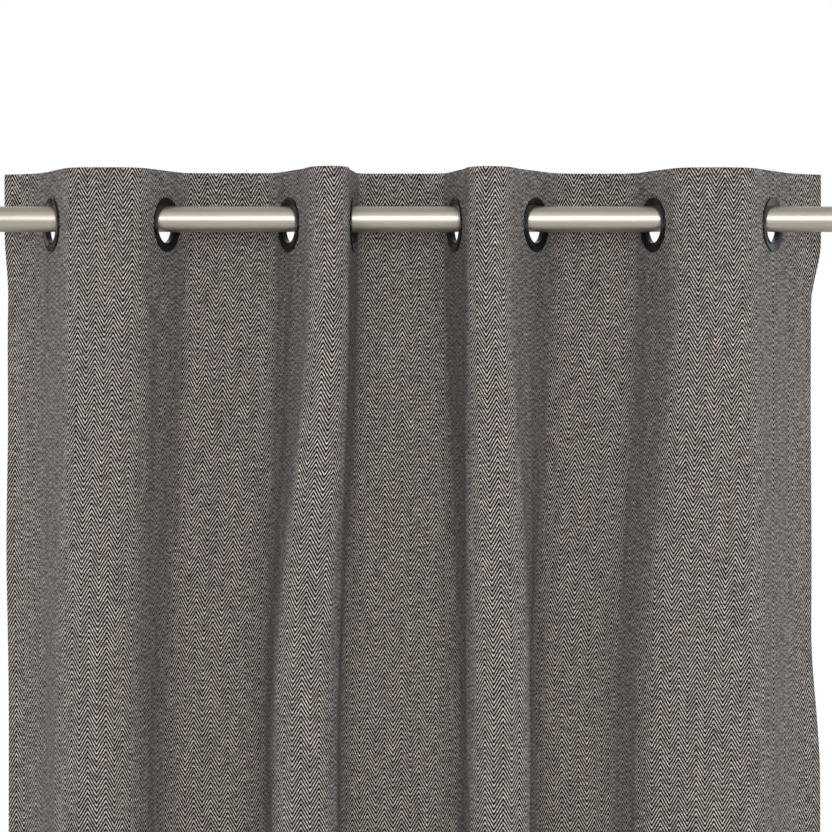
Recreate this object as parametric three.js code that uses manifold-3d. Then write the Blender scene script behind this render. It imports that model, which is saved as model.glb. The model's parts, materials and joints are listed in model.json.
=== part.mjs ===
// Eyelet curtain panel: one width of herringbone cloth, hung in soft S-folds from eight two-piece eyelets.
// Millimetres, +Z up. The origin is on the axis of the pole that the eyelets are threaded on, midway
// between the two outer eyelets. +X runs along the pole, and the face of the cloth looks towards -Y.
import * as THREE from "three";
import { mergeVertices } from "three/addons/utils/BufferGeometryUtils.js";
import Module from "manifold-3d";

const wasm = await Module();
wasm.setup();

// The flat panel
const finishedLength = 2400; // top edge to bottom edge
const eyeletSpacing = 187; // from one eyelet to the next, along the cloth
const sideMargin = 95.5; // from an outer eyelet to the side edge, along the cloth
const headingDepth = 118; // the stiffened, double band along the top
const bottomHemDepth = 80;
const sideHemWidth = 30;
const clothThickness = 0.9;
const stiffenerThickness = 0.6;
const layerGap = 0.3; // between layers, between neighbouring pieces, and around what they hold

// The eyelets, and the pole that they hang on
const eyeletBore = 40;
const eyeletRimWidth = 10; // how far the rim reaches beyond the bore
const eyeletWall = 1.5; // of the barrel that passes through the cloth
const rimThickness = 1.6; // of each ring's rim, measured away from the cloth
const rimBevel = 0.9;
const clothHoleClearance = 1.5; // between the barrel and the punched hole
const poleDiameter = 28;
const eyeletSegments = 24;

// The care label, sewn in behind the left side hem
const labelWidth = 26;
const labelHeight = 45;
const labelThickness = 0.4;
const labelAboveHem = 90;

// The folds at the pole: the bays between eyelets, and the angle of the cloth to the pole at each eyelet
const bayWidths = [122, 137, 67, 114, 85, 131, 127];
const bayBulges = [8, 6, 20, 0, 20, 6, 0]; // how many degrees steeper than the eyelets the legs of a bay stand
const eyeletAngles = [68.7, 65.8, 66.2, 83.9, 75.5, 62, 67, 63.6];
const leftEdgeAngle = 17;
const rightEdgeAngle = 28;
const edgeTurn = 1.2; // share of the free margin in which the cloth turns to the angle at the eyelet

// The folds lower down: how far each fold line has drifted along X, and its angle there
const foldDrift = [-1, -14, -21, -15, 9, -7, -25, 1];
const freeAngles = [76, 72, 81, 83, 80, 85, 67, 70];
const freeLeftEdgeAngle = 18;
const freeRightEdgeAngle = 20;
const freeEdgeTurn = 0.82;
const settledBelow = 560; // distance below the pole at which the folds have taken their own shape

const topZ = headingDepth / 2 - (eyeletBore - poleDiameter) / 2;
const eyeletZ = topZ - headingDepth / 2;
const headingBottomZ = topZ - headingDepth;
const bottomZ = topZ - finishedLength;
const rimRadius = eyeletBore / 2 + eyeletRimWidth;
const rimRounding = Math.min(rimBevel, 0.6 * rimThickness); // less than the rim is thick
const barrelRadius = eyeletBore / 2 + eyeletWall;
const clothHoleRadius = barrelRadius + clothHoleClearance;
const faceBack = stiffenerThickness / 2 + layerGap;
const faceFront = faceBack + clothThickness;
const flatBesideEyelet = rimRadius + 2; // the cloth is flat under the rims
const hemFront = faceBack - layerGap; // the turned-in cloth of the hems lies just behind the face cloth
const hemBack = hemFront - clothThickness;
const hemTopZ = bottomZ + bottomHemDepth + layerGap;
const eyeletCount = eyeletAngles.length;
const flatWidth = 2 * sideMargin + (eyeletCount - 1) * eyeletSpacing;

const sum = (numbers) => numbers.reduce((total, value) => total + value, 0);
const radians = THREE.MathUtils.degToRad;
const eyeletX = eyeletAngles.map((_, i) => sum(bayWidths.slice(0, i)) - sum(bayWidths) / 2);
const eyeletArc = eyeletAngles.map((_, i) => sideMargin + i * eyeletSpacing);

const materials = {
  cloth: { color: 0x66605b, roughness: 0.9, metalness: 0 },
  stiffener: { color: 0xe6e2da, roughness: 0.9, metalness: 0 },
  eyelet: { color: 0x3a3d42, roughness: 0.3, metalness: 1 },
  label: { color: 0xf2f0ea, roughness: 0.6, metalness: 0 },
};

const panel = new THREE.Group();

function addMesh(name, geometry, material) {
  const mesh = new THREE.Mesh(geometry, new THREE.MeshStandardMaterial(materials[material]));
  mesh.name = name;
  panel.add(mesh);
  return mesh;
}

// The angle of a bay's cloth along its length, t from 0 to 1: it starts at a, lies along the pole at the
// crest, and ends at -b. A low power keeps the legs straight and rounds the crest tightly.
function bayAngle({ a, b, bulge, crest, power }, t) {
  if (t < crest) return legAngle(a, bulge, power, t / crest);
  return -legAngle(b, bulge, power, (1 - t) / (1 - crest));
}

// The cloth's angle along one leg of a bay, u from 0 at the eyelet to 1 at the crest
function legAngle(angle, bulge, power, u) {
  return (angle + bulge * Math.sin(Math.PI * u)) * Math.cos((Math.PI / 2) * u) ** power;
}

// How far one leg of a bay reaches along the pole and out from it, for each unit of its length
function legReach(angle, bulge, power) {
  const steps = 120;
  const reach = [0, 0];
  for (let i = 0; i < steps; i++) {
    const turned = legAngle(angle, bulge, power, (i + 0.5) / steps);
    reach[0] += Math.cos(turned) / steps;
    reach[1] += Math.sin(turned) / steps;
  }
  return reach;
}

// The power and the crest with which a bay of the given length spans the width and comes forward as asked
function shapeBay(a, b, bulge, length, width, forward) {
  let [low, high, crest] = [0.05, 12, 0.5];
  for (let round = 0; round < 40; round++) {
    const power = Math.sqrt(low * high);
    const [alongA, outA] = legReach(a, bulge, power);
    const [alongB, outB] = legReach(b, bulge, power);
    crest = (forward / length + outB) / (outA + outB);
    if ((crest * alongA + (1 - crest) * alongB) * length < width) low = power;
    else high = power;
  }
  return { a, b, bulge, crest, power: Math.sqrt(low * high) };
}

// The angle of the cloth all along one level, as a function of the distance from the left edge
function levelAngles(share) {
  const mix = (atPole, below) => THREE.MathUtils.lerp(atPole, below, share);
  const lines = eyeletX.map((x, i) => x + foldDrift[i] * share);
  const angles = eyeletAngles.map((angle, i) => radians(mix(angle, freeAngles[i])));
  const leftEdge = radians(mix(leftEdgeAngle, freeLeftEdgeAngle));
  const rightEdge = radians(mix(rightEdgeAngle, freeRightEdgeAngle));
  const flat = mix(flatBesideEyelet, 0);
  const middle = eyeletSpacing - 2 * flat;
  const bays = bayWidths.map((_, i) => {
    const [a, b] = [angles[i], angles[i + 1]];
    const width = lines[i + 1] - lines[i] - flat * (Math.cos(a) + Math.cos(b));
    return shapeBay(a, b, radians(bayBulges[i]), middle, width, flat * (Math.sin(b) - Math.sin(a)));
  });
  const turned = mix(edgeTurn, freeEdgeTurn);
  const edgeCurve = (edge, eyelet, t) => edge + (eyelet - edge) * THREE.MathUtils.smoothstep(t, 0, turned);
  const angleAt = (arc) => {
    const bay = Math.floor((arc - sideMargin) / eyeletSpacing);
    if (bay < 0) return edgeCurve(leftEdge, angles[0], arc / (sideMargin - flat));
    if (bay >= bays.length) {
      return -edgeCurve(rightEdge, angles[eyeletCount - 1], (flatWidth - arc) / (sideMargin - flat));
    }
    const t = THREE.MathUtils.clamp((arc - eyeletArc[bay] - flat) / middle, 0, 1);
    // every second bay bulges to the back
    return bayAngle(bays[bay], t) * (bay % 2 === 0 ? 1 : -1);
  };
  return { angleAt, lines };
}

// The heading's middle surface cut at one height, as points every millimetre from edge to edge
function levelCurve(z) {
  const fall = THREE.MathUtils.clamp((headingBottomZ - z) / (settledBelow + headingBottomZ), 0, 1);
  const { angleAt, lines } = levelAngles(fall * fall * (3 - 2 * fall));
  const steps = Math.round(flatWidth);
  const step = flatWidth / steps;
  const points = [{ x: 0, y: 0, angle: angleAt(0) }];
  for (let i = 0; i < steps; i++) {
    const { x, y } = points[i];
    const angle = angleAt((i + 0.5) * step);
    points.push({
      x: x + Math.cos(angle) * step,
      y: y - Math.sin(angle) * step,
      angle: angleAt((i + 1) * step),
    });
  }
  const at = (arc) => {
    const place = THREE.MathUtils.clamp(arc / step, 0, steps - 1e-9);
    const [low, part] = [Math.floor(place), place % 1];
    const blend = (key) => THREE.MathUtils.lerp(points[low][key], points[low + 1][key], part);
    return { x: blend("x"), y: blend("y"), angle: blend("angle") };
  };
  // the middle fold line of the level sets where the whole level lies
  const middleLine = Math.floor(eyeletCount / 2);
  const held = at(eyeletArc[middleLine]);
  return (arc, offset) => {
    const { x, y, angle } = at(arc);
    return [
      x - held.x + lines[middleLine] - Math.sin(angle) * offset,
      y - held.y - Math.cos(angle) * offset,
      z,
    ];
  };
}

const levelCurves = new Map();
function levelAt(z) {
  if (!levelCurves.has(z)) levelCurves.set(z, levelCurve(z));
  return levelCurves.get(z);
}

// A layer of cloth between two offsets from the middle surface, through the given arcs and heights
function layerGeometry(arcs, heights, back, front) {
  const positions = [];
  for (const offset of [back, front]) {
    for (const z of heights) {
      for (const arc of arcs) positions.push(...levelAt(z)(arc, offset));
    }
  }
  const [columns, rows] = [arcs.length, heights.length];
  const vertex = (side, row, column) => (side * rows + row) * columns + column;
  const index = [];
  const quad = (a, b, c, d) => index.push(a, b, c, a, c, d);
  for (let r = 0; r + 1 < rows; r++) {
    for (let c = 0; c + 1 < columns; c++) {
      quad(vertex(1, r, c), vertex(1, r, c + 1), vertex(1, r + 1, c + 1), vertex(1, r + 1, c));
      quad(vertex(0, r, c), vertex(0, r + 1, c), vertex(0, r + 1, c + 1), vertex(0, r, c + 1));
    }
    quad(vertex(0, r, 0), vertex(1, r, 0), vertex(1, r + 1, 0), vertex(0, r + 1, 0));
    const end = columns - 1;
    quad(vertex(1, r, end), vertex(0, r, end), vertex(0, r + 1, end), vertex(1, r + 1, end));
  }
  for (let c = 0; c + 1 < columns; c++) {
    const top = rows - 1;
    quad(vertex(0, 0, c), vertex(0, 0, c + 1), vertex(1, 0, c + 1), vertex(1, 0, c));
    quad(vertex(1, top, c), vertex(1, top, c + 1), vertex(0, top, c + 1), vertex(0, top, c));
  }
  const geometry = new THREE.BufferGeometry();
  geometry.setAttribute("position", new THREE.Float32BufferAttribute(positions, 3));
  geometry.setIndex(index);
  return geometry;
}

function toSolid(geometry) {
  const bare = geometry.clone();
  bare.deleteAttribute("normal");
  bare.deleteAttribute("uv");
  const merged = mergeVertices(bare, 1e-4);
  return new wasm.Manifold(
    new wasm.Mesh({
      numProp: 3,
      vertProperties: new Float32Array(merged.attributes.position.array),
      triVerts: new Uint32Array(merged.index.array),
    }),
  );
}

function toGeometry(solid) {
  const mesh = solid.getMesh();
  const geometry = new THREE.BufferGeometry();
  geometry.setAttribute("position", new THREE.Float32BufferAttribute(mesh.vertProperties, 3));
  geometry.setIndex(new THREE.Uint32BufferAttribute(mesh.triVerts, 1));
  return geometry;
}

// Places a turned piece, made about +Y, on an eyelet's axis, with its +Y pointing out of the cloth's face
function eyeletMatrix(i) {
  const sign = i % 2 === 0 ? 1 : -1;
  const [x, y, z] = levelAt(eyeletZ)(eyeletArc[i], 0);
  const face = Math.PI + sign * -radians(eyeletAngles[i]);
  return new THREE.Matrix4().makeRotationZ(face).setPosition(x, y, z);
}

function punched(geometry, i) {
  const punch = new THREE.CylinderGeometry(clothHoleRadius, clothHoleRadius, 20, eyeletSegments);
  punch.applyMatrix4(eyeletMatrix(i));
  return toGeometry(toSolid(geometry).subtract(toSolid(punch)));
}

function turnedRing(profile, i) {
  const points = profile.map(([radius, height]) => new THREE.Vector2(radius, height));
  points.push(points[0].clone());
  return new THREE.LatheGeometry(points, eyeletSegments).applyMatrix4(eyeletMatrix(i));
}

// The front ring has the barrel, which passes through the cloth into the back ring
function frontRing(i) {
  const [bore, seat] = [eyeletBore / 2, faceFront + layerGap];
  const top = seat + rimThickness;
  return turnedRing(
    [
      [bore, -top],
      [barrelRadius, -top],
      [barrelRadius, seat],
      [rimRadius, seat],
      [rimRadius, top - rimRounding],
      [rimRadius - rimRounding, top],
      [bore + rimRounding, top],
      [bore, top - rimRounding],
    ],
    i,
  );
}

function backRing(i) {
  const [inner, seat] = [barrelRadius + layerGap, faceFront + layerGap];
  const top = seat + rimThickness;
  return turnedRing(
    [
      [inner, -top],
      [rimRadius - rimRounding, -top],
      [rimRadius, rimRounding - top],
      [rimRadius, -seat],
      [inner, -seat],
    ],
    i,
  );
}

// Arcs at which one fold's layers turn: even steps on the curves, and none where the cloth is flat
function foldArcs(i) {
  const curveSteps = 6;
  const start = i === 0 ? 0 : eyeletArc[i] - eyeletSpacing / 2 + layerGap / 2;
  const end = i === eyeletCount - 1 ? flatWidth : eyeletArc[i] + eyeletSpacing / 2 - layerGap / 2;
  const [before, after] = [eyeletArc[i] - flatBesideEyelet, eyeletArc[i] + flatBesideEyelet];
  const steps = [...Array(curveSteps + 1).keys()].map((n) => n / curveSteps);
  const rising = steps.map((t) => THREE.MathUtils.lerp(start, before, t));
  const falling = steps.map((t) => THREE.MathUtils.lerp(after, end, t));
  return [...rising, ...falling];
}

function dropHeights(low, high) {
  const between = [0.25, 0.55, 1].map((share) => headingBottomZ - share * (settledBelow + headingBottomZ));
  return [low, ...between.filter((z) => z > low + 1 && z < high - 1).sort((a, b) => a - b), high];
}

function addFold(i) {
  const arcs = foldArcs(i);
  const band = [headingBottomZ + layerGap, topZ];
  const number = i + 1;
  const headingLayer = (back, front) => punched(layerGeometry(arcs, band, back, front), i);
  addMesh(`heading_face_cloth_${number}`, headingLayer(faceBack, faceFront), "cloth");
  addMesh(`heading_turn_over_${number}`, headingLayer(-faceFront, -faceBack), "cloth");
  const half = stiffenerThickness / 2;
  addMesh(`heading_stiffener_${number}`, headingLayer(-half, half), "stiffener");
  const drop = layerGeometry(arcs, dropHeights(bottomZ, headingBottomZ), faceBack, faceFront);
  addMesh(`drop_cloth_${number}`, drop, "cloth");
  const hem = layerGeometry(arcs, [bottomZ, bottomZ + bottomHemDepth], hemBack, hemFront);
  addMesh(`bottom_hem_${number}`, hem, "cloth");
  addMesh(`eyelet_front_ring_${number}`, frontRing(i), "eyelet");
  addMesh(`eyelet_back_ring_${number}`, backRing(i), "eyelet");
}

function sideHemArcs(from, to) {
  const steps = 3;
  return [...Array(steps + 1).keys()].map((n) => THREE.MathUtils.lerp(from, to, n / steps));
}

function addSideHem(name, from, to) {
  const heights = dropHeights(hemTopZ, headingBottomZ);
  addMesh(name, layerGeometry(sideHemArcs(from, to), heights, hemBack, hemFront), "cloth");
}

function addCareLabel() {
  const from = sideHemWidth + layerGap;
  const low = hemTopZ + labelAboveHem;
  const back = hemFront - labelThickness;
  const label = layerGeometry(sideHemArcs(from, from + labelWidth), [low, low + labelHeight], back, hemFront);
  addMesh("care_label", label, "label");
}

for (let i = 0; i < eyeletCount; i++) addFold(i);
addSideHem("side_hem_left", 0, sideHemWidth);
addSideHem("side_hem_right", flatWidth - sideHemWidth, flatWidth);
addCareLabel();

export default panel;
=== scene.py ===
"""An eyelet curtain panel in herringbone cloth, hanging in soft folds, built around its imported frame."""

import math

import bpy
import numpy as np
from mathutils import Matrix, Vector
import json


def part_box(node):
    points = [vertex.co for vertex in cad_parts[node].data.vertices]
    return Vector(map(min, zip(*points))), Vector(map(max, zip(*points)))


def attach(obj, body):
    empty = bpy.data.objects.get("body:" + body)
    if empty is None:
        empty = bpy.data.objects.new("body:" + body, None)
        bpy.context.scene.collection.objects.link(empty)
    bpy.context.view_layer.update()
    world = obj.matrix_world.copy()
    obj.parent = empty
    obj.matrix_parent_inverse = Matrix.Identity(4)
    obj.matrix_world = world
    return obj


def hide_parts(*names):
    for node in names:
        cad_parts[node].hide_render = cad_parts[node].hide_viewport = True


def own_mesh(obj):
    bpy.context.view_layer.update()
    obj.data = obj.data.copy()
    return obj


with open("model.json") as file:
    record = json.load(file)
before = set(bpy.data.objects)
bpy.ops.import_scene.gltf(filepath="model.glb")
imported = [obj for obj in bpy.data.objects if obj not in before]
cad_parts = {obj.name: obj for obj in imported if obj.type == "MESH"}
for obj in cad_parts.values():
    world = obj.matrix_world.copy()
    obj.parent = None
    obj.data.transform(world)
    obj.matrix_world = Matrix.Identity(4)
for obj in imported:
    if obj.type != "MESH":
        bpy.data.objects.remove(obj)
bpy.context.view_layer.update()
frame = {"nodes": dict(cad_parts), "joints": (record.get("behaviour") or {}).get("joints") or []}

MM = 0.001

# The cloth as it was cut, in metres
EYELET_SPACING = 187 * MM
SIDE_MARGIN = 95.5 * MM
CLOTH_THICKNESS = 0.9 * MM
STIFFENER_THICKNESS = 0.6 * MM
LAYER_GAP = 0.3 * MM
HEADING_DEPTH = 118 * MM
BOTTOM_HEM_DEPTH = 80 * MM
SIDE_HEM_WIDTH = 30 * MM
CLOTH_HOLE_RADIUS = 25 * MM  # hidden under the rims
EYELET_BORE_RADIUS = 20 * MM
BARREL_RADIUS = 21.5 * MM
RIM_RADIUS = 30 * MM
RIM_THICKNESS = 1.6 * MM
RIM_BEAD = 1.2 * MM  # radius of the rounding along the outer edge of a rim
BORE_FUNNEL = 0.9 * MM  # radius of the rounding into the bore
BACK_ROUNDING = 0.6 * MM  # round the opening of the back ring
BARREL_CHAMFER = 0.4 * MM  # at the back end of the barrel
FLAT_BESIDE_EYELET = RIM_RADIUS + 2 * MM
POLE_RADIUS = 14 * MM

# The folds. Angles are those of the cloth to the pole, in degrees; "free" is where the cloth hangs settled.
BAY_BULGES = [8, 6, 20, 0, 20, 6, 0]  # how much steeper than the eyelets the legs of a bay stand
EDGE_ANGLES = (17, 28)  # left and right side edge, at the pole
FREE_EDGE_ANGLES = (18, 20)
EDGE_TURNS = (1.2, 0.82)  # share of the free margin in which the cloth turns, at the pole and settled
FOLD_DRIFT = [-1, -14, -21, -15, 9, -7, -25, 1]  # in millimetres along X, once settled
FREE_ANGLES = [76, 72, 81, 83, 80, 85, 67, 70]
SETTLED_BELOW = 560 * MM  # the pole
# Where the left and the right side edge curl back below the heading: by how many degrees, and the
# heights, in metres, where the curl starts, is full, begins to fade and ends
EDGE_CURLS = ((10, -0.01, -0.08, -0.20, -0.40), (22, -0.02, -0.09, -0.45, -0.62))

# The weave
COLUMN_WIDTH = 9.5 * MM
TWILL_SLOPE = 1.77
TWILL_REPEAT = 5.55 * MM
YARN_PITCH = 0.9 * MM

# How finely the cloth is meshed
ARC_STEP = 4 * MM
ROW_STEP = 16 * MM
HEADING_ROW_STEP = 3.5 * MM

FACE_OFFSET = (STIFFENER_THICKNESS + CLOTH_THICKNESS) / 2 + LAYER_GAP
HEM_OFFSET = FACE_OFFSET - CLOTH_THICKNESS - LAYER_GAP
TOP_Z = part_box("heading_face_cloth_1")[1][2]
BOTTOM_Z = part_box("drop_cloth_1")[0][2]
HEADING_BOTTOM_Z = TOP_Z - HEADING_DEPTH
EYELET_Z = TOP_Z - HEADING_DEPTH / 2
EYELET_COUNT = 8
FLAT_WIDTH = 2 * SIDE_MARGIN + (EYELET_COUNT - 1) * EYELET_SPACING
EYELET_ARCS = SIDE_MARGIN + EYELET_SPACING * np.arange(EYELET_COUNT)


def node_points(name):
    """The corners of a CAD node, as an array."""
    return np.array([v.co for v in frame["nodes"][name].data.vertices], float)


def joint(name):
    return next(j for j in frame["joints"] if j["name"] == name)


def eyelet_place(number):
    """The X of an eyelet on the pole, and the angle of the cloth there, as the frame has them."""
    x = joint(f"eyelet_turn_{number}")["pos_m"][0]
    points = node_points(f"eyelet_back_ring_{number}")
    axis = np.linalg.svd(points - points.mean(0), full_matrices=False)[2][2]
    return x, math.acos(min(1, abs(axis[1])))


EYELET_X, EYELET_ANGLES = (
    np.array(values) for values in zip(*(eyelet_place(k + 1) for k in range(EYELET_COUNT)))
)


# --- the folds ---------------------------------------------------------------


def smooth(t):
    """From 0 to 1 as t goes from 0 to 1, level at both ends."""
    return t * t * (3 - 2 * t)


def leg_angle(angle, bulge, power, u):
    """The cloth's angle along one leg of a bay, u from 0 at the eyelet to 1 at the crest."""
    return (angle + bulge * np.sin(np.pi * u)) * np.cos(np.pi / 2 * u) ** power


def bay_angle(a, b, bulge, crest, power, t):
    """The cloth's angle along a bay, t from 0 to 1: a at first, level at the crest, and -b at the end."""
    rising = leg_angle(a, bulge, power, np.clip(t / crest, 0, 1))
    falling = leg_angle(b, bulge, power, np.clip((1 - t) / (1 - crest), 0, 1))
    return np.where(t < crest, rising, -falling)


def leg_reach(angle, bulge, power):
    """How far one leg of a bay reaches along the pole and out from it, for each unit of its length."""
    turned = leg_angle(angle, bulge, power, (np.arange(120) + 0.5) / 120)
    return np.cos(turned).mean(), np.sin(turned).mean()


def shape_bay(a, b, bulge, length, width, forward):
    """The crest and the power with which a bay of this length spans the width and comes this far forward."""
    low, high = 0.05, 12.0
    for _ in range(40):
        power = math.sqrt(low * high)
        along_a, out_a = leg_reach(a, bulge, power)
        along_b, out_b = leg_reach(b, bulge, power)
        crest = (forward / length + out_b) / (out_a + out_b)
        if (crest * along_a + (1 - crest) * along_b) * length < width:
            low = power
        else:
            high = power
    return crest, power


def window(z, start, full, fading, end):
    """Rises from 0 to 1 as z falls from start to full, and goes back to 0 from fading to end."""
    t = min(np.clip((start - z) / (start - full), 0, 1), np.clip((z - end) / (fading - end), 0, 1))
    return smooth(t)


def level_curve(z):
    """The panel's middle surface cut at one height: from distance along the cloth to X, Y and angle."""
    share = smooth(np.clip((HEADING_BOTTOM_Z - z) / (SETTLED_BELOW + HEADING_BOTTOM_Z), 0, 1))
    lines = EYELET_X + np.array(FOLD_DRIFT) * MM * share
    angles = EYELET_ANGLES * (1 - share) + np.radians(FREE_ANGLES) * share
    edges = np.radians(EDGE_ANGLES) * (1 - share) + np.radians(FREE_EDGE_ANGLES) * share
    edges += np.radians([curl * window(z, *heights) for curl, *heights in EDGE_CURLS])
    flat = FLAT_BESIDE_EYELET * (1 - share)
    middle = EYELET_SPACING - 2 * flat
    turned = EDGE_TURNS[0] * (1 - share) + EDGE_TURNS[1] * share
    steps = 1500
    arcs = (np.arange(steps) + 0.5) * FLAT_WIDTH / steps
    angle = np.zeros(steps)

    def edge_angle(edge, eyelet, distance):
        t = np.clip(distance / (SIDE_MARGIN - flat) / turned, 0, 1)
        return edge + (eyelet - edge) * smooth(t)

    left = arcs < SIDE_MARGIN
    angle[left] = edge_angle(edges[0], angles[0], arcs[left])
    right = arcs > FLAT_WIDTH - SIDE_MARGIN
    angle[right] = -edge_angle(edges[1], angles[-1], FLAT_WIDTH - arcs[right])
    for bay in range(EYELET_COUNT - 1):
        a, b = angles[bay], angles[bay + 1]
        width = lines[bay + 1] - lines[bay] - flat * (math.cos(a) + math.cos(b))
        bulge = math.radians(BAY_BULGES[bay])
        crest, power = shape_bay(a, b, bulge, middle, width, flat * (math.sin(b) - math.sin(a)))
        inside = (arcs >= EYELET_ARCS[bay]) & (arcs < EYELET_ARCS[bay + 1])
        t = np.clip((arcs[inside] - EYELET_ARCS[bay] - flat) / middle, 0, 1)
        side = 1 if bay % 2 == 0 else -1
        angle[inside] = bay_angle(a, b, bulge, crest, power, t) * side
    step = FLAT_WIDTH / steps
    at = np.arange(steps + 1) * step
    x = np.concatenate([[0], np.cumsum(np.cos(angle) * step)])
    y = np.concatenate([[0], np.cumsum(-np.sin(angle) * step)])
    held = EYELET_COUNT // 2
    x += lines[held] - np.interp(EYELET_ARCS[held], at, x)
    y -= np.interp(EYELET_ARCS[held], at, y)
    return lambda arc: (
        np.interp(arc, at, x),
        np.interp(arc, at, y),
        np.interp(arc, arcs, angle),
    )


def ripple(arc, z):
    """How far the cloth stands off its smooth fold: long soft pulls, none of them under an eyelet's rim."""
    away = np.min([np.hypot(arc - e, z - EYELET_Z) for e in EYELET_ARCS], axis=0)
    free = np.clip((away - RIM_RADIUS) / (60 * MM), 0, 1)
    low = np.clip((HEADING_BOTTOM_Z - z) / (150 * MM), 0, 1)
    stiff = 0.35 + 0.65 * low
    waves = (
        0.9 * np.sin(2 * np.pi * (arc / 0.083 + 0.13 * np.sin(z * 4.1)) + 1.3)
        * np.sin(z * 3.3 + 2 * np.sin(arc * 19))
        + 0.6 * np.sin(2 * np.pi * (arc / 0.047 + 0.21 * np.sin(z * 6.7 + 1)) + 0.4)
        * np.sin(z * 7.9 + 3 * np.sin(arc * 31))
        + 0.35 * np.sin(2 * np.pi * (arc / 0.029 + z / 0.9))
        * np.sin(z * 13.1 + 4 * np.sin(arc * 23))
    )
    return waves * free * stiff * MM


LEVELS = {}


def cloth_points(arcs, z, offset):
    """Points of a layer of cloth at one height, offset towards the face of the cloth."""
    key = round(z, 7)
    if key not in LEVELS:
        LEVELS[key] = level_curve(min(z, TOP_Z))
    x, y, angle = LEVELS[key](arcs)
    stand = offset + ripple(arcs, z)
    return np.stack([x - np.sin(angle) * stand, y - np.cos(angle) * stand, np.full_like(x, z)], 1)


# --- mesh helpers ------------------------------------------------------------


def add_object(name, points, faces, uvs=None, smooth=True):
    mesh = bpy.data.meshes.new(name)
    mesh.from_pydata([tuple(p) for p in points], [], [tuple(f) for f in faces])
    if uvs is not None:
        layer = mesh.uv_layers.new(name="cloth")
        corner = np.array([loop.vertex_index for loop in mesh.loops])
        layer.uv.foreach_set("vector", np.asarray(uvs, np.float32)[corner].ravel())
    mesh.update()
    for polygon in mesh.polygons:
        polygon.use_smooth = smooth
    piece = bpy.data.objects.new(name, mesh)
    bpy.context.scene.collection.objects.link(piece)
    return piece


def apply_modifiers(piece):
    bpy.context.view_layer.update()
    evaluated = piece.evaluated_get(bpy.context.evaluated_depsgraph_get())
    mesh = bpy.data.meshes.new_from_object(evaluated)
    piece.modifiers.clear()
    piece.data = mesh


def thicken(piece, thickness):
    solid = piece.modifiers.new("thickness", "SOLIDIFY")
    solid.thickness = thickness
    solid.offset = 0
    solid.use_even_offset = False
    apply_modifiers(piece)


def sheet_object(name, arcs, path, holes=False):
    """A sheet on a grid: across the panel by arcs, and along a path of (height, offset, length so far)."""
    rows = [cloth_points(arcs, z, offset) for z, offset, _ in path]
    points = np.concatenate(rows)
    uvs = np.array([(arc, length) for _, _, length in path for arc in arcs])
    count = len(arcs)
    keep = np.ones((len(path) - 1, count - 1), bool)
    if holes:
        z = np.array([height for height, _, _ in path])
        for eyelet in EYELET_ARCS:
            away = np.stack(np.broadcast_arrays(arcs[None, :] - eyelet, z[:, None] - EYELET_Z), -1)
            distance = np.linalg.norm(away, axis=-1)
            inside = distance < CLOTH_HOLE_RADIUS
            full = inside[:-1, :-1] & inside[1:, :-1] & inside[:-1, 1:] & inside[1:, 1:]
            keep &= ~full
    faces = []
    for r, c in np.argwhere(keep):
        first = r * count + c
        faces.append((first, first + 1, first + count + 1, first + count))
    used = np.unique(np.array(faces))
    renumber = np.full(len(points), -1)
    renumber[used] = np.arange(len(used))
    return add_object(name, points[used], renumber[np.array(faces)], uvs[used])


def measured_path(places):
    """Adds the length so far to a list of (height, offset)."""
    path, length = [], 0.0
    for i, (z, offset) in enumerate(places):
        if i:
            length += math.hypot(z - places[i - 1][0], offset - places[i - 1][1])
        path.append((z, offset, length))
    return path


def turn(z, middle, radius, upward, steps=6):
    """Where the cloth is folded over: half a circle between two layers."""
    sign = 1 if upward else -1
    angles = np.linspace(0, math.pi, steps + 1)[1:-1]
    return [(z + sign * radius * math.sin(a), middle + radius * math.cos(a) * sign) for a in angles]


def arcs_between(start, end):
    return np.linspace(start, end, max(2, round((end - start) / ARC_STEP)) + 1)


def ride_and_fold(piece):
    """The cloth rides with the first fold: it is hung on the body fold_1 and given a mesh of its own."""
    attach(piece, "fold_1")
    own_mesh(piece)


# --- materials ---------------------------------------------------------------


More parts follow.
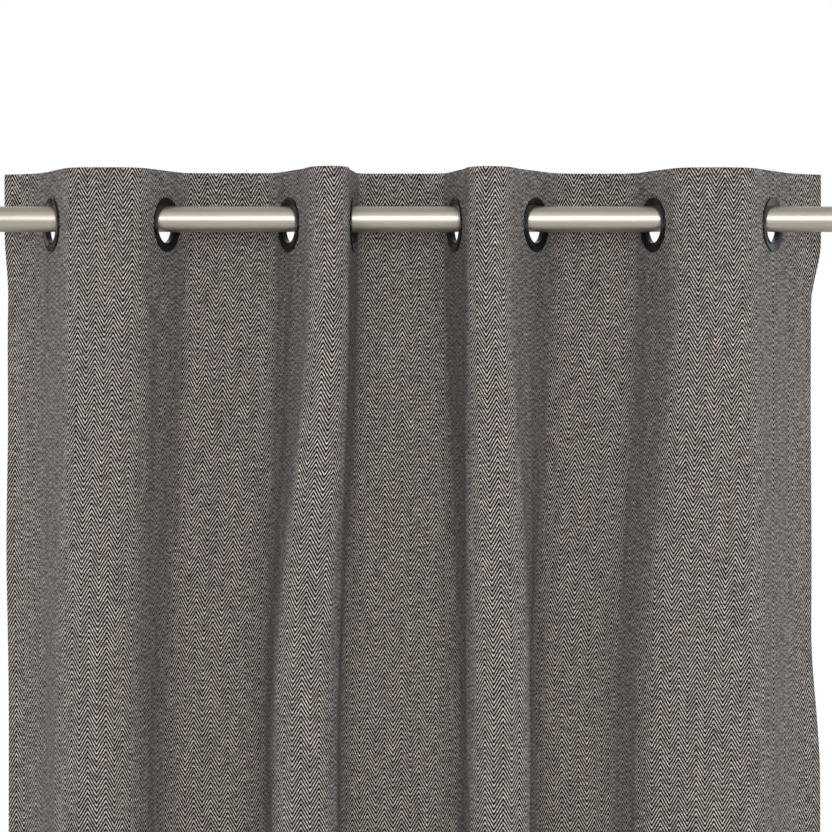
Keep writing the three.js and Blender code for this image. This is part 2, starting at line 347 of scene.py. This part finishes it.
class Nodes:
    """A short way to write a node material."""

    def __init__(self, name):
        self.material = bpy.data.materials.new(name)
        self.material.use_nodes = True
        self.tree = self.material.node_tree
        self.shader = self.tree.nodes["Principled BSDF"]

    def add(self, kind, inputs=None, **settings):
        node = self.tree.nodes.new(kind)
        for key, value in settings.items():
            setattr(node, key, value)
        for key, value in (inputs or {}).items():
            self.join(value, node.inputs[key])
        return node

    def join(self, value, socket):
        if isinstance(value, bpy.types.NodeSocket):
            self.tree.links.new(value, socket)
        else:
            socket.default_value = value

    def math(self, operation, *values):
        node = self.add("ShaderNodeMath", operation=operation)
        for socket, value in zip(node.inputs, values):
            self.join(value, socket)
        return node.outputs[0]

    def mix(self, factor, a, b, blend="MIX"):
        node = self.add("ShaderNodeMix", data_type="RGBA", blend_type=blend)
        self.join(factor, node.inputs["Factor"])
        self.join(a, node.inputs["A"])
        self.join(b, node.inputs["B"])
        return node.outputs["Result"]

    def noise(self, vector, scale, detail=2.0, roughness=0.5):
        node = self.add(
            "ShaderNodeTexNoise",
            {"Vector": vector, "Scale": scale, "Detail": detail, "Roughness": roughness},
        )
        return node.outputs["Fac"]

    def stretched_noise(self, vector, scales, detail=2.0):
        """Noise drawn out along one axis: the scales are in lumps per metre."""
        drawn = self.add("ShaderNodeVectorMath", {0: vector, 1: scales}, operation="MULTIPLY")
        return self.noise(drawn.outputs[0], 1.0, detail)

    def spread(self, value, low, high, to_low=0.0, to_high=1.0):
        node = self.add(
            "ShaderNodeMapRange",
            {"Value": value, "From Min": low, "From Max": high, "To Min": to_low, "To Max": to_high},
            interpolation_type="SMOOTHSTEP",
        )
        return node.outputs["Result"]

    def set(self, **inputs):
        for key, value in inputs.items():
            self.join(value, self.shader.inputs[key.replace("_", " ")])


def herringbone_material():
    n = Nodes("herringbone_cloth")
    uv = n.add("ShaderNodeUVMap", uv_map="cloth").outputs["UV"]
    split = n.add("ShaderNodeSeparateXYZ", {"Vector": uv})
    across, along = split.outputs["X"], split.outputs["Y"]
    # slight unevenness of the yarns bends the lines
    loose = n.stretched_noise(uv, (60, 14, 1))
    wander = n.math("MULTIPLY", n.math("SUBTRACT", loose, 0.5), 1.1 * MM)
    zigzag = n.math("MULTIPLY", n.math("PINGPONG", across, COLUMN_WIDTH), TWILL_SLOPE)
    phase = n.math("DIVIDE", n.math("ADD", n.math("SUBTRACT", along, zigzag), wander), TWILL_REPEAT)
    wave = n.math("SINE", n.math("MULTIPLY", phase, 2 * math.pi))
    light = n.spread(wave, 0.12, 0.60)
    # each line is a row of short floats over the warp
    warp = n.math("SINE", n.math("MULTIPLY", across, 2 * math.pi / YARN_PITCH))
    weft = n.math("SINE", n.math("MULTIPLY", along, 2 * math.pi / (YARN_PITCH * 0.8)))
    grain = n.math("MULTIPLY", n.math("ADD", warp, weft), 0.5)
    # slubs: yarns that run a little lighter or darker for some length
    slub = n.math("ADD", n.stretched_noise(uv, (900, 16, 1), 1.0), n.stretched_noise(uv, (60, 700, 1), 1.0))
    fleck = n.noise(uv, 700.0, 2.0, 0.6)
    cream = n.mix(n.spread(slub, 0.82, 1.18), (0.70, 0.632, 0.60, 1), (0.97, 0.882, 0.835, 1))
    tinted = n.mix(n.spread(fleck, 0.35, 0.7), cream, (0.78, 0.60, 0.51, 1))
    cream = n.mix(0.35, cream, tinted)
    charcoal = n.mix(n.spread(fleck, 0.3, 0.75), (0.002, 0.0014, 0.0012, 1), (0.026, 0.016, 0.0135, 1))
    colour = n.mix(light, charcoal, cream)
    # thick and thin places in the yarns
    thick_weft = n.stretched_noise(uv, (45, 420, 1), 1.0)
    thick_warp = n.stretched_noise(uv, (110, 260, 1), 1.0)
    uneven = n.spread(n.math("ADD", thick_weft, thick_warp), 0.70, 1.30, 0.64, 1.36)
    shade = n.math("MULTIPLY", n.spread(grain, -1, 1, 0.80, 1.08), uneven)
    grey = n.add("ShaderNodeCombineXYZ", {0: shade, 1: shade, 2: shade}).outputs[0]
    colour = n.mix(1.0, colour, grey, "MULTIPLY")
    height = n.math("ADD", n.math("MULTIPLY", light, 0.6), n.math("MULTIPLY", grain, 0.4))
    bump = n.add("ShaderNodeBump", {"Height": height, "Strength": 0.9, "Distance": 0.45 * MM})
    n.set(Base_Color=colour, Normal=bump.outputs["Normal"], Roughness=0.92, Specular_IOR_Level=0.08)
    return n.material


def metal_material():
    n = Nodes("gunmetal")
    where = n.add("ShaderNodeTexCoord").outputs["Object"]
    cloud = n.noise(where, 35.0, 1.0)
    colour = n.mix(n.spread(cloud, 0.3, 0.7), (0.002, 0.0022, 0.003, 1), (0.004, 0.0045, 0.006, 1))
    n.set(Base_Color=colour, Roughness=n.spread(cloud, 0.3, 0.7, 0.07, 0.10), Specular_IOR_Level=0.4)
    n.set(Specular_Tint=(0.80, 0.88, 1.0, 1))
    return n.material


def thread_material():
    n = Nodes("sewing_thread")
    where = n.add("ShaderNodeTexCoord").outputs["Object"]
    colour = n.mix(n.noise(where, 800.0), (0.03, 0.027, 0.025, 1), (0.075, 0.068, 0.062, 1))
    n.set(Base_Color=colour, Roughness=0.7)
    return n.material


def plain_woven_material(name, light, dark, pitch, rough):
    n = Nodes(name)
    uv = n.add("ShaderNodeUVMap", uv_map="cloth").outputs["UV"]
    split = n.add("ShaderNodeSeparateXYZ", {"Vector": uv})
    waves = [
        n.math("SINE", n.math("MULTIPLY", split.outputs[axis], 2 * math.pi / pitch)) for axis in "XY"
    ]
    weave = n.math("MULTIPLY", *waves)
    colour = n.mix(n.spread(n.math("ADD", weave, n.noise(uv, 90.0)), -0.6, 1.6), dark, light)
    bump = n.add("ShaderNodeBump", {"Height": weave, "Strength": 0.3, "Distance": 0.2 * MM})
    n.set(Base_Color=colour, Roughness=rough, Normal=bump.outputs["Normal"])
    return n.material


def pole_material():
    n = Nodes("satin_nickel")
    where = n.add("ShaderNodeTexCoord").outputs["Object"]
    brushed = n.stretched_noise(where, (6, 900, 900))
    colour = n.mix(n.spread(brushed, 0.3, 0.7), (0.60, 0.535, 0.455, 1), (0.66, 0.59, 0.505, 1))
    n.set(Base_Color=colour, Metallic=1.0, Roughness=n.spread(brushed, 0.3, 0.7, 0.36, 0.42))
    return n.material


# --- the pieces --------------------------------------------------------------


def spaced(start, end, step):
    return list(np.linspace(start, end, max(1, round(abs(end - start) / step)) + 1))


def numbered(*stems):
    return [f"{stem}_{k + 1}" for k in range(EYELET_COUNT) for stem in stems]


def make_cloth(material):
    """One length: up the back of the bottom hem, round the edge, up the face, over the top and down."""
    hem_radius = (FACE_OFFSET - HEM_OFFSET) / 2
    low_z = BOTTOM_Z + hem_radius + CLOTH_THICKNESS / 2
    high_z = TOP_Z - FACE_OFFSET - CLOTH_THICKNESS / 2
    hem = [(z, HEM_OFFSET) for z in spaced(BOTTOM_Z + BOTTOM_HEM_DEPTH, low_z, ROW_STEP)]
    round_bottom = turn(low_z, (FACE_OFFSET + HEM_OFFSET) / 2, hem_radius, upward=False)
    drop = [(z, FACE_OFFSET) for z in spaced(low_z, HEADING_BOTTOM_Z, ROW_STEP)]
    heading = spaced(HEADING_BOTTOM_Z, high_z, HEADING_ROW_STEP)
    face = [(z, FACE_OFFSET) for z in heading[1:]]
    round_top = turn(high_z, 0, FACE_OFFSET, upward=True)
    behind = [(z, -FACE_OFFSET) for z in reversed(heading)]
    path = measured_path(hem + round_bottom + drop + face + round_top + behind)
    cloth = sheet_object("curtain_cloth", arcs_between(0, FLAT_WIDTH), path, holes=True)
    thicken(cloth, CLOTH_THICKNESS)
    cloth.data.materials.append(material)
    stems = ("heading_face_cloth", "heading_turn_over", "drop_cloth", "bottom_hem")
    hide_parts(*numbered(*stems))
    ride_and_fold(cloth)


def make_stiffener(material):
    inset = 4 * MM
    path = measured_path([(z, 0) for z in spaced(HEADING_BOTTOM_Z, TOP_Z - inset, HEADING_ROW_STEP)])
    arcs = arcs_between(inset, FLAT_WIDTH - inset)
    stiffener = sheet_object("heading_stiffener", arcs, path, holes=True)
    thicken(stiffener, STIFFENER_THICKNESS)
    stiffener.data.materials.append(material)
    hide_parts(*numbered("heading_stiffener"))
    ride_and_fold(stiffener)


def make_side_hem(name, start, end, material):
    path = measured_path(
        [(z, HEM_OFFSET) for z in spaced(BOTTOM_Z + BOTTOM_HEM_DEPTH, HEADING_BOTTOM_Z, ROW_STEP)]
    )
    hem = sheet_object(f"{name}_cloth", arcs_between(start, end), path)
    thicken(hem, CLOTH_THICKNESS)
    hem.data.materials.append(material)
    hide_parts(name)
    ride_and_fold(hem)


def stitches(name, seams, material):
    """Rows of machine stitches: each a small pointed float of thread that stands on the cloth."""
    length, pitch, width, height = 2.4 * MM, 3.2 * MM, 0.45 * MM, 0.35 * MM
    points, faces = [], []
    for start, end, place in seams:
        for at in np.arange(start, end - pitch, pitch):
            a, b, across, out = place(at, at + length)
            middle = (a + b) / 2
            first = len(points)
            points += [a, b, middle + across * width, middle - across * width, middle + out * height]
            points.append(middle - out * height)
            for side in ((2, 4), (4, 3), (3, 5), (5, 2)):
                faces.append((first, first + side[0], first + side[1]))
                faces.append((first + 1, first + side[1], first + side[0]))
    piece = add_object(name, points, faces)
    piece.data.materials.append(material)
    ride_and_fold(piece)


def point_and_normal(arc, z, offset):
    place = cloth_points(np.array([arc]), z, offset)[0]
    normal = cloth_points(np.array([arc]), z, offset + MM)[0] - place
    return place, normal / np.linalg.norm(normal)


def level_seam(z, offset):
    """Places a stitch along the cloth at one height, on the side that offset is on."""
    side = -1 if offset < 0 else 1

    def place(start, end):
        a, normal = point_and_normal(start, z, offset)
        b, _ = point_and_normal(end, z, offset)
        return a, b, np.array([0, 0, 1.0]), normal * side

    return place


def upright_seam(arc, offset):
    side = -1 if offset < 0 else 1

    def place(start, end):
        a, normal = point_and_normal(arc, start, offset)
        b, _ = point_and_normal(arc, end, offset)
        return a, b, np.cross(normal, [0, 0, 1.0]), normal * side

    return place


def make_stitching(material):
    """Every seam shows on the back only: the hems are blind-stitched to the face cloth."""
    skin = CLOTH_THICKNESS / 2
    back_of_heading = -FACE_OFFSET - skin
    back_of_hem = HEM_OFFSET - skin
    inset = 3 * MM
    hem_top = BOTTOM_Z + BOTTOM_HEM_DEPTH
    level = [
        (inset, FLAT_WIDTH - inset, level_seam(HEADING_BOTTOM_Z + inset, back_of_heading)),
        (inset, FLAT_WIDTH - inset, level_seam(hem_top - inset, back_of_hem)),
    ]
    upright = [
        (hem_top + inset, HEADING_BOTTOM_Z - inset, upright_seam(arc, back_of_hem))
        for arc in (SIDE_HEM_WIDTH - inset, FLAT_WIDTH - SIDE_HEM_WIDTH + inset)
    ]
    stitches("heading_and_hem_stitching", level, material)
    stitches("side_hem_stitching", upright, material)


def make_label(material):
    low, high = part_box("care_label")[0][2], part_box("care_label")[1][2]
    width, thickness = 26 * MM, 0.4 * MM
    start = SIDE_HEM_WIDTH + LAYER_GAP
    offset = HEM_OFFSET + CLOTH_THICKNESS / 2 - 0.2 * MM
    path = measured_path([(z, offset) for z in spaced(low, high, 5 * MM)])
    label = sheet_object("care_label_blank", arcs_between(start, start + width), path)
    thicken(label, thickness)
    label.data.materials.append(material)
    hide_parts("care_label")
    ride_and_fold(label)


def lathe(name, profile, matrix, segments=96):
    """A closed ring turned about its own Z."""
    points, faces = [], []
    count = len(profile)
    for s in range(segments):
        angle = 2 * math.pi * s / segments
        for radius, height in profile:
            points.append(matrix @ Vector((radius * math.cos(angle), radius * math.sin(angle), height)))
    for s in range(segments):
        here, there = s * count, (s + 1) % segments * count
        for i in range(count):
            j = (i + 1) % count
            faces.append((here + i, there + i, there + j, here + j))
    return add_object(name, points, faces)


def arc_profile(radius, height, r, start, end, steps):
    """Points round part of a circle in a profile, angles in degrees."""
    angles = np.radians(np.linspace(start, end, steps + 1))
    return [(radius + r * math.cos(a), height + r * math.sin(a)) for a in angles]


def eyelet_matrix(number):
    x, angle = EYELET_X[number], EYELET_ANGLES[number]
    side = 1 if number % 2 == 0 else -1
    normal = Vector((-math.sin(angle * side), -math.cos(angle * side), 0))
    along = Vector((math.cos(angle * side), -math.sin(angle * side), 0))
    rotation = Matrix((along, normal.cross(along), normal)).transposed()
    return Matrix.Translation((x, 0, EYELET_Z)) @ rotation.to_4x4()


def make_eyelet(number, material):
    """Two rings that snap together through the heading: the front one carries the barrel."""
    matrix = eyelet_matrix(number)
    seat = FACE_OFFSET + CLOTH_THICKNESS / 2 + LAYER_GAP
    end = -seat - RIM_THICKNESS
    front = [
        (EYELET_BORE_RADIUS, end + BARREL_CHAMFER),
        (EYELET_BORE_RADIUS + BARREL_CHAMFER, end),
        (BARREL_RADIUS, end),
        (BARREL_RADIUS, seat - 0.3 * MM),
        (RIM_RADIUS - MM, seat - 0.3 * MM),
    ]
    front += arc_profile(RIM_RADIUS - RIM_BEAD, seat + 0.4 * MM, RIM_BEAD, -38, 100, 12)
    front += arc_profile(EYELET_BORE_RADIUS + BORE_FUNNEL, seat + 0.1 * MM, BORE_FUNNEL, 103, 180, 6)
    inner = BARREL_RADIUS + LAYER_GAP
    back = [(RIM_RADIUS - MM, -seat), (inner, -seat)]
    back += arc_profile(inner + BACK_ROUNDING, -seat - 0.7 * MM, BACK_ROUNDING, 180, 257, 5)
    back += arc_profile(RIM_RADIUS - RIM_BEAD, -seat - 0.4 * MM, RIM_BEAD, 260, 388, 12)
    for side, profile in (("front", front), ("back", back)):
        ring = lathe(f"eyelet_{side}_{number + 1}", profile, matrix)
        ring.data.materials.append(material)
        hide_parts(f"eyelet_{side}_ring_{number + 1}")
        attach(ring, f"eyelet_{number + 1}")


# --- the stage ---------------------------------------------------------------


def make_pole(material):
    """The pole isn't part of the panel: it only shows what the eyelets hang from."""
    half = 0.8
    # the second row next to each bevel keeps the shading straight along the tube
    profile = [(POLE_RADIUS - MM, -half), (POLE_RADIUS, MM - half), (POLE_RADIUS, 4 * MM - half)]
    profile += [(r, -h) for r, h in reversed(profile)]
    segments = 96
    points, faces = [], []
    for s in range(segments):
        a = 2 * math.pi * s / segments
        points += [(h, r * math.cos(a), r * math.sin(a)) for r, h in profile]
    count = len(profile)
    for s in range(segments):
        here, there = s * count, (s + 1) % segments * count
        faces += [(here + i, here + i + 1, there + i + 1, there + i) for i in range(count - 1)]
    faces.append([s * count for s in range(segments)])
    faces.append([s * count + count - 1 for s in reversed(range(segments))])
    pole = add_object("stage_pole", points, faces)
    for polygon in pole.data.polygons:
        polygon.use_smooth = len(polygon.vertices) == 4
    pole.data.materials.append(material)


def make_floor():
    size = 5
    z = BOTTOM_Z - 40 * MM
    corners = [(-size, -size, z), (size, -size, z), (size, size, z), (-size, size, z)]
    floor = add_object("stage_floor", corners, [(0, 1, 2, 3)], smooth=False)
    n = Nodes("pale_floor")
    n.set(Base_Color=(0.82, 0.82, 0.81, 1), Roughness=0.8, Specular_IOR_Level=0.1)
    floor.data.materials.append(n.material)


def make_world():
    """A studio: dim in front, brighter overhead and behind, and plain white where the camera sees it."""
    world = bpy.data.worlds.new("studio")
    bpy.context.scene.world = world
    world.use_nodes = True
    tree = world.node_tree

    def add(kind, inputs, **settings):
        node = tree.nodes.new(kind)
        for key, value in settings.items():
            setattr(node, key, value)
        for key, value in inputs.items():
            if isinstance(value, bpy.types.NodeSocket):
                tree.links.new(value, node.inputs[key])
            else:
                node.inputs[key].default_value = value
        return node

    def ramp(value, start, end, low, high):
        limits = {"From Min": start, "From Max": end, "To Min": low, "To Max": high}
        return add("ShaderNodeMapRange", {"Value": value, **limits}).outputs["Result"]

    place = add("ShaderNodeTexCoord", {}).outputs["Generated"]
    split = add("ShaderNodeSeparateXYZ", {"Vector": place})
    overhead = ramp(split.outputs["Z"], 0.3, 0.95, 0.03, 0.46)
    backdrop = ramp(split.outputs["Y"], 0.1, 0.7, 0.0, 0.75)
    light = add("ShaderNodeMath", {0: overhead, 1: backdrop}, operation="MAXIMUM").outputs[0]
    seen = add("ShaderNodeLightPath", {}).outputs["Is Camera Ray"]
    strength = add("ShaderNodeMix", {"Factor": seen, "A": light, "B": 1.0}).outputs["Result"]
    back = tree.nodes["Background"]
    back.inputs["Color"].default_value = (1, 1, 1, 1)
    tree.links.new(strength, back.inputs["Strength"])


def add_light(name, place, target, size, power, colour=(1, 1, 1)):
    lamp = bpy.data.lights.new(name, "AREA")
    lamp.shape = "RECTANGLE"
    lamp.size, lamp.size_y = size
    lamp.energy = power
    lamp.color = colour
    item = bpy.data.objects.new(name, lamp)
    item.location = place
    item.rotation_euler = (Vector(target) - Vector(place)).to_track_quat("-Z", "Y").to_euler()
    item.visible_camera = False
    bpy.context.scene.collection.objects.link(item)


def make_lights():
    add_light("front_softbox", (0.2, -3.4, 0.35), (0, 0, -0.3), (2.3, 2.0), 58, (0.94, 0.98, 1.0))
    add_light("top_softbox", (0.0, -2.4, 2.5), (0, 0, 0), (3.0, 1.6), 10)
    add_light("low_softbox", (0.0, -3.2, -1.7), (0, 0, -0.6), (3.0, 1.0), 5)
    add_light("left_softbox", (-3.2, -0.4, 0.2), (0, 0, -0.4), (1.2, 2.4), 26, (0.92, 0.96, 1.0))
    add_light("right_softbox", (3.2, -0.4, 0.2), (0, 0, -0.4), (1.2, 2.4), 26, (0.92, 0.96, 1.0))


def make_camera():
    """Level, square to the pole and a long way back."""
    camera = bpy.data.cameras.new("camera")
    camera.sensor_width = 36
    distance = 4.1
    picture_width = 907 * MM  # at the pole
    camera.lens = 36 * distance / picture_width
    camera.clip_end = 100
    item = bpy.data.objects.new("camera", camera)
    item.location = (4.4 * MM, -distance, -214.5 * MM)
    item.rotation_euler = (math.pi / 2, 0, 0)
    bpy.context.scene.collection.objects.link(item)
    bpy.context.scene.camera = item


make_camera()
make_world()
make_lights()
make_floor()
make_pole(pole_material())

weave = herringbone_material()
thread = thread_material()
gunmetal = metal_material()
buckram = plain_woven_material("buckram", (0.84, 0.82, 0.77, 1), (0.70, 0.68, 0.63, 1), 1.2 * MM, 0.9)
satin = plain_woven_material("label_satin", (0.93, 0.92, 0.89, 1), (0.84, 0.83, 0.80, 1), 0.5 * MM, 0.45)

make_cloth(weave)
make_stiffener(buckram)
make_side_hem("side_hem_left", 0, SIDE_HEM_WIDTH, weave)
make_side_hem("side_hem_right", FLAT_WIDTH - SIDE_HEM_WIDTH, FLAT_WIDTH, weave)
make_stitching(thread)
make_label(satin)
for number in range(EYELET_COUNT):
    make_eyelet(number, gunmetal)

bpy.context.scene.view_settings.view_transform = "Standard"
